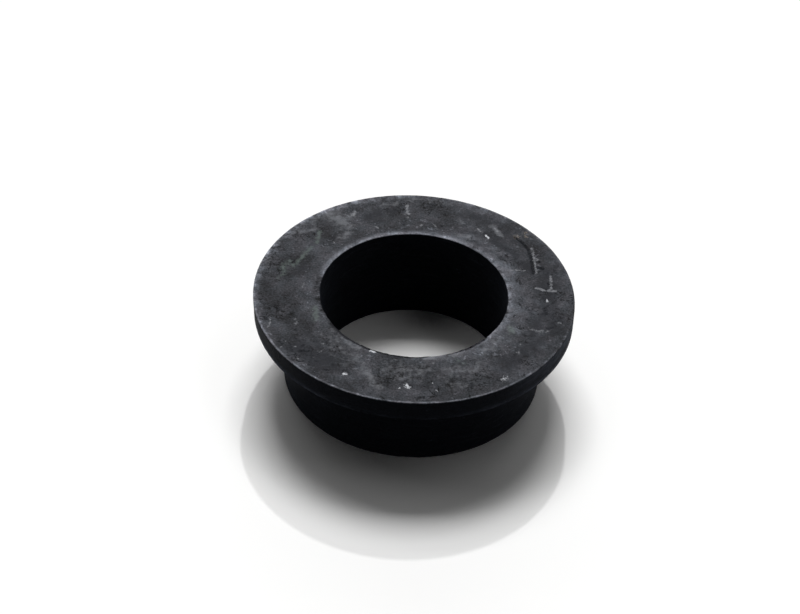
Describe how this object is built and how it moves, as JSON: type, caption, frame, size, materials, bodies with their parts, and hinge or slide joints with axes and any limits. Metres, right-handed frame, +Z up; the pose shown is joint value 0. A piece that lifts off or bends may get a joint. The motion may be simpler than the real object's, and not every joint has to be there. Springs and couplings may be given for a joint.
{
  "type": "flanged rubber bushing",
  "caption": "Short rubber sleeve with a flat round flange at one end and a straight through bore, for lining a hole in a panel or seating a pin.",
  "frame": {"origin": "centre of the sleeve's lower end, on the bore's axis, at the surface that the part stands on", "axes": "+Z up along the bore's axis, from the sleeve's lower end towards the flange; X and Y are any two directions square to it, because the part is round"},
  "size_m": [0.019, 0.019, 0.006],
  "materials": {
    "black_rubber": "matte moulded black rubber with a grey bloom on the flange's top face"
  },
  "bodies": {
    "root": {"bushing": "black_rubber"}
  },
  "joints": []
}
